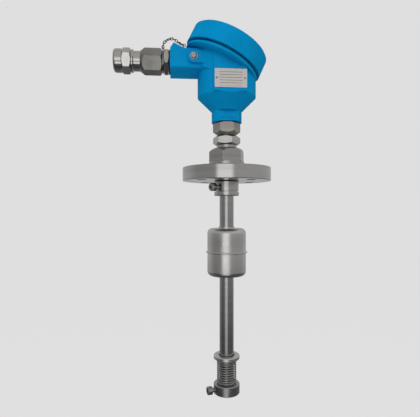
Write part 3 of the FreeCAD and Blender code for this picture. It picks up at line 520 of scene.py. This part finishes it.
dress(["plate_rivets"], machined_steel("rivet_metal", RIVET_METAL, rough=(0.3, 0.4)))
dress(["terminal_clamps", "inner_earth_screw"], machined_steel("brass_parts", BRASS, rings=3000.0))
dress(["float_magnet"], moulded("magnet_body", MAGNET_GREY, (0.5, 0.65)))
dress(["name_plate"], plate_finish("plate_metal"))
dress(["gland_washer", "gland_bush"], moulded("black_rubber", BLACK_RUBBER, (0.6, 0.8), "gland"))
dress(["cover_seal"], moulded("seal_rubber", BLACK_RUBBER, (0.5, 0.7), "cover"))
dress(["gland_ring"], moulded("slip_plastic", SLIP_PLASTIC, (0.35, 0.5), "gland"))
dress(["terminal_block"], moulded("terminal_moulding", DARK_MOULDING, (0.4, 0.55), "cover"))
dress(["reed_leads"], moulded("lead_sleeve", RED_SLEEVE, (0.4, 0.55)))
dress(["reed_switches"], clear_glass("reed_glass"))
dress(["reed_board"], circuit_board("board_green"))


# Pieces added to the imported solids

def grid_object(name, points, close_u=False, close_v=False):
    """Smooth mesh of quads over a grid of points of shape (u, v, 3), closed along u or v where asked."""
    nu, nv = points.shape[:2]
    u = np.arange(nu if close_u else nu - 1)
    v = np.arange(nv if close_v else nv - 1)
    uu, vv = np.meshgrid(u, v, indexing="ij")
    u1 = (uu + 1) % nu
    v1 = (vv + 1) % nv
    quads = np.stack([uu * nv + vv, u1 * nv + vv, u1 * nv + v1, uu * nv + v1], axis=-1).reshape(-1, 4)
    mesh = bpy.data.meshes.new(name)
    mesh.from_pydata(points.reshape(-1, 3).tolist(), [], quads.tolist())
    mesh.polygons.foreach_set("use_smooth", np.full(len(mesh.polygons), True))
    made = bpy.data.objects.new(name, mesh)
    bpy.context.scene.collection.objects.link(made)
    return made


def tube_about(path, across, outward, radius, sides):
    """Tube over a path: every path point carries a circle spanned by two unit vectors across the path."""
    angle = np.linspace(0, 2 * math.pi, sides, endpoint=False)
    cosine = np.cos(angle)[None, :, None]
    sine = np.sin(angle)[None, :, None]
    ring = cosine * outward[:, None, :] + sine * across[:, None, :]
    return path[:, None, :] + radius * ring


def coil_spring():
    """Round wire wound at even pitch between two flat end coils, which lie on the washer and the collar.

    Height of the wire's middle over the turn t: one wire per turn in the first and the last 0.8 turn, and
    an even pitch between them.
    """
    low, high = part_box("buffer_spring")
    wire = SPRING_WIRE / 2
    mean = SPRING_OUTSIDE / 2 - wire
    turn = np.linspace(0, SPRING_TURNS, SPRING_TURNS * STEPS_PER_TURN + 1)
    flat = SPRING_FLAT_TURNS
    travel = high.z - low.z - 2 * wire
    flat_rise = 2 * wire * flat
    knots = [0, flat, SPRING_TURNS - flat, SPRING_TURNS]
    levels = [0, flat_rise, travel - flat_rise, travel]
    angle = 2 * math.pi * turn
    outward = np.stack([np.cos(angle), np.sin(angle), np.zeros_like(angle)], axis=-1)
    path = mean * outward
    path[:, 2] = low.z + wire + np.interp(turn, knots, levels)
    along = np.gradient(path, axis=0)
    along /= np.linalg.norm(along, axis=1)[:, None]
    across = np.cross(along, outward)
    tube = tube_about(path, across, outward, wire, WIRE_SIDES)
    ends = [np.repeat(path[i:i + 1, None, :], WIRE_SIDES, axis=1) for i in (0, -1)]
    piece = grid_object("buffer_coil", np.concatenate([ends[0], tube, ends[1]]), close_v=True)
    piece.data.materials.append(SPRING_FINISH)
    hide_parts("buffer_spring")
    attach(piece, "switch")
    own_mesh(piece)


def thread_sleeve(name, azimuth, level, start, end):
    """Screw thread on the bare shank of a collar bolt, which points out from the stem at an azimuth.

    Radius at distance s along the shank and angle a about it: shank + depth * tooth(s / pitch - a / 2 pi),
    where tooth is a ridge with flat crest and root, and depth falls to nothing at both ends.
    """
    s = np.linspace(start, end, 64)
    a = np.linspace(0, 2 * math.pi, 32, endpoint=False)
    ss, aa = np.meshgrid(s, a, indexing="ij")
    phase = np.mod(ss / THREAD_PITCH - aa / (2 * math.pi), 1.0)
    tooth = np.clip(1.5 - 4 * np.abs(phase - 0.5), 0.0, 1.0)
    fade = np.clip(np.minimum(ss - start, end - ss) / THREAD_PITCH, 0.0, 1.0)
    radius = BOLT_SHANK_R - THREAD_SINK + THREAD_DEPTH * tooth * fade
    turn = math.radians(azimuth)
    out = np.array([math.sin(turn), -math.cos(turn), 0.0])
    side = np.array([math.cos(turn), math.sin(turn), 0.0])
    up = np.array([0.0, 0.0, 1.0])
    ring = np.cos(aa)[..., None] * side + np.sin(aa)[..., None] * up
    points = ss[..., None] * out + radius[..., None] * ring
    points[..., 2] += level
    piece = grid_object(name, points, close_v=True)
    piece.data.materials.append(BOLT_FINISH)
    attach(piece, "switch")


def weld_bead(name, level, lean, body):
    """Rippled weld run in the corner between the float's end and its middle tube.

    At angle a the bead's radius grows by 12 % of cos(46 a), and by 5 % of a slow sine of 3 a.
    """
    a = np.linspace(0, 2 * math.pi, 276, endpoint=False)
    ring = np.linspace(0, 2 * math.pi, 12, endpoint=False)
    aa, rr = np.meshgrid(a, ring, indexing="ij")
    bead = WELD_R * (1 + 0.12 * np.cos(WELD_RIPPLES * aa) + 0.05 * np.sin(3 * aa))
    reach = FLOAT_TUBE_R + bead * np.cos(rr) + WELD_OUT
    height = level + lean * WELD_OUT + bead * np.sin(rr)
    points = np.stack([reach * np.cos(aa), reach * np.sin(aa), height], axis=-1)
    piece = grid_object(name, points, close_u=True, close_v=True)
    piece.data.materials.append(WELD_FINISH)
    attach(piece, body)


# Camera, backdrop, room and lamps

def aim_camera():
    data = bpy.data.cameras.new("view")
    data.sensor_width = SENSOR_WIDTH
    data.lens = CAMERA_LENS
    data.clip_start = 0.01
    data.clip_end = 20.0
    camera = bpy.data.objects.new("view", data)
    camera.location = CAMERA_PLACE
    camera.rotation_euler = (math.radians(90), 0, CAMERA_TURN)
    bpy.context.scene.collection.objects.link(camera)
    bpy.context.scene.camera = camera


def sweep_grid(depth, wide, back, rise, floor_z, bend):
    """Floor that bends up into a wall: straight run, quarter circle and straight rise, all along X."""
    run = np.linspace(-depth, back - bend, 8)
    turn = np.linspace(0, math.pi / 2, 24)[1:]
    climb = np.linspace(bend, rise, 8)[1:]
    y = np.concatenate([run, back - bend + bend * np.sin(turn), np.full(len(climb), back)])
    z = np.concatenate([np.zeros(len(run)), bend - bend * np.cos(turn), climb])
    x = np.linspace(-wide, wide, 9)
    grid_x, grid_y = np.meshgrid(x, y, indexing="ij")
    grid_z = np.broadcast_to(z, grid_y.shape) + floor_z
    return np.stack([grid_x, grid_y, grid_z], axis=-1)


def seen_directly(tree, rays):
    """One for rays from the camera, also through glass, and nothing for all others."""
    return calc(tree, "MAXIMUM", rays.outputs["Is Camera Ray"], rays.outputs["Is Transmission Ray"])


def backdrop():
    """Pale sweep: even where seen directly, a matt floor to the light, and left out of reflections."""
    points = sweep_grid(depth=2.5, wide=3.5, back=2.2, rise=3.5, floor_z=-0.42, bend=0.8)
    sweep = grid_object("studio_sweep", points)
    material, tree, shader = new_material("pale_sweep")
    shader.inputs["Base Color"].default_value = (FLOOR_GREY, FLOOR_GREY, FLOOR_GREY, 1.0)
    shader.inputs["Roughness"].default_value = 0.9
    shader.inputs["Specular IOR Level"].default_value = 0.0
    glow = add(tree, "ShaderNodeEmission")
    glow.inputs["Color"].default_value = (PAPER, PAPER, PAPER, 1.0)
    seen = seen_directly(tree, add(tree, "ShaderNodeLightPath"))
    mix = add(tree, "ShaderNodeMixShader")
    link(tree, calc(tree, "MULTIPLY", seen, EVEN_SHARE), mix.inputs[0])
    link(tree, shader.outputs[0], mix.inputs[1])
    link(tree, glow.outputs[0], mix.inputs[2])
    link(tree, mix.outputs[0], tree.nodes["Material Output"].inputs["Surface"])
    sweep.data.materials.append(material)
    sweep.visible_glossy = False


def by_elevation(tree, sine, stops):
    """Colour Ramp over the sine of an elevation; the stops are pairs of degrees and a grey level."""
    made = add(tree, "ShaderNodeValToRGB")
    link(tree, spread(tree, sine, (-1.0, 1.0)), made.inputs["Fac"])
    ramp = made.color_ramp
    while len(ramp.elements) < len(stops):
        ramp.elements.new(0.5)
    for element, (degrees, level) in zip(ramp.elements, stops):
        element.position = (math.sin(math.radians(degrees)) + 1) / 2
        element.color = (level, level, level, 1.0)
    return made.outputs["Color"]


def reflected_room(tree, direction):
    """What polished metal sees: a light strip in front, dim sides, and a grey behind that darkens below."""
    x, y, z = split(tree, direction)
    azimuth = calc(tree, "ARCTAN2", x, calc(tree, "MULTIPLY", y, -1.0))
    left = spread(tree, azimuth, STRIP_LEFT)
    right = spread(tree, azimuth, STRIP_RIGHT, (1.0, 0.0))
    shaded = spread(tree, x, (-0.5, 0.5), (0.3, 0.0))
    sides = mix_colour(tree, shaded, by_elevation(tree, z, SIDES), LEFT_SHADE)
    room = mix_colour(tree, spread(tree, y, (0.0, 0.5)), sides, by_elevation(tree, z, BEHIND))
    return mix_colour(tree, calc(tree, "MULTIPLY", left, right), room, by_elevation(tree, z, FRONT_BAND))


def softbox(name, place, width, height, watts):
    """White rectangular lamp aimed at the object, and left out of reflections."""
    data = bpy.data.lights.new(name, "AREA")
    data.shape = "RECTANGLE"
    data.size = width
    data.size_y = height
    data.energy = watts
    lamp = bpy.data.objects.new(name, data)
    lamp.location = place
    aim = np.subtract(LIT_POINT, place)
    level = math.hypot(aim[0], aim[1])
    lamp.rotation_euler = (math.atan2(level, -aim[2]), 0, math.atan2(aim[1], aim[0]) - math.pi / 2)
    lamp.visible_glossy = False
    bpy.context.scene.collection.objects.link(lamp)


def studio_light():
    """World of plain paper to the eye, even grey to matt surfaces and a room to metal, and three lamps."""
    world = bpy.data.worlds.new("studio")
    world.use_nodes = True
    tree = world.node_tree
    room = reflected_room(tree, add(tree, "ShaderNodeTexCoord").outputs["Generated"])
    rays = add(tree, "ShaderNodeLightPath")
    seen = seen_directly(tree, rays)
    plain = mix_colour(tree, seen, (AMBIENT, AMBIENT, AMBIENT), (PAPER, PAPER, PAPER))
    level = mix_colour(tree, rays.outputs["Is Glossy Ray"], plain, room)
    link(tree, level, tree.nodes["Background"].inputs["Color"])
    bpy.context.scene.world = world
    softbox("front_box", place=(-0.12, -1.5, 0.62), width=1.1, height=1.5, watts=9.0)
    softbox("left_box", place=(-1.3, -0.6, 0.9), width=0.7, height=0.9, watts=2.5)
    softbox("top_box", place=(0.2, 0.1, 1.5), width=0.9, height=0.9, watts=4.0)


coil_spring()
thread_sleeve("upper_bolt_thread", azimuth=-51, level=-0.0073, start=0.0140, end=0.0193)
thread_sleeve("lower_bolt_thread", azimuth=-76, level=-0.2357, start=0.0150, end=0.0178)
weld_bead("float_weld_top", FLOAT_TOP, 1, "float")
weld_bead("float_weld_bottom", FLOAT_BOTTOM, -1, "float")
aim_camera()
backdrop()
studio_light()
bpy.context.scene.view_settings.view_transform = "Standard"
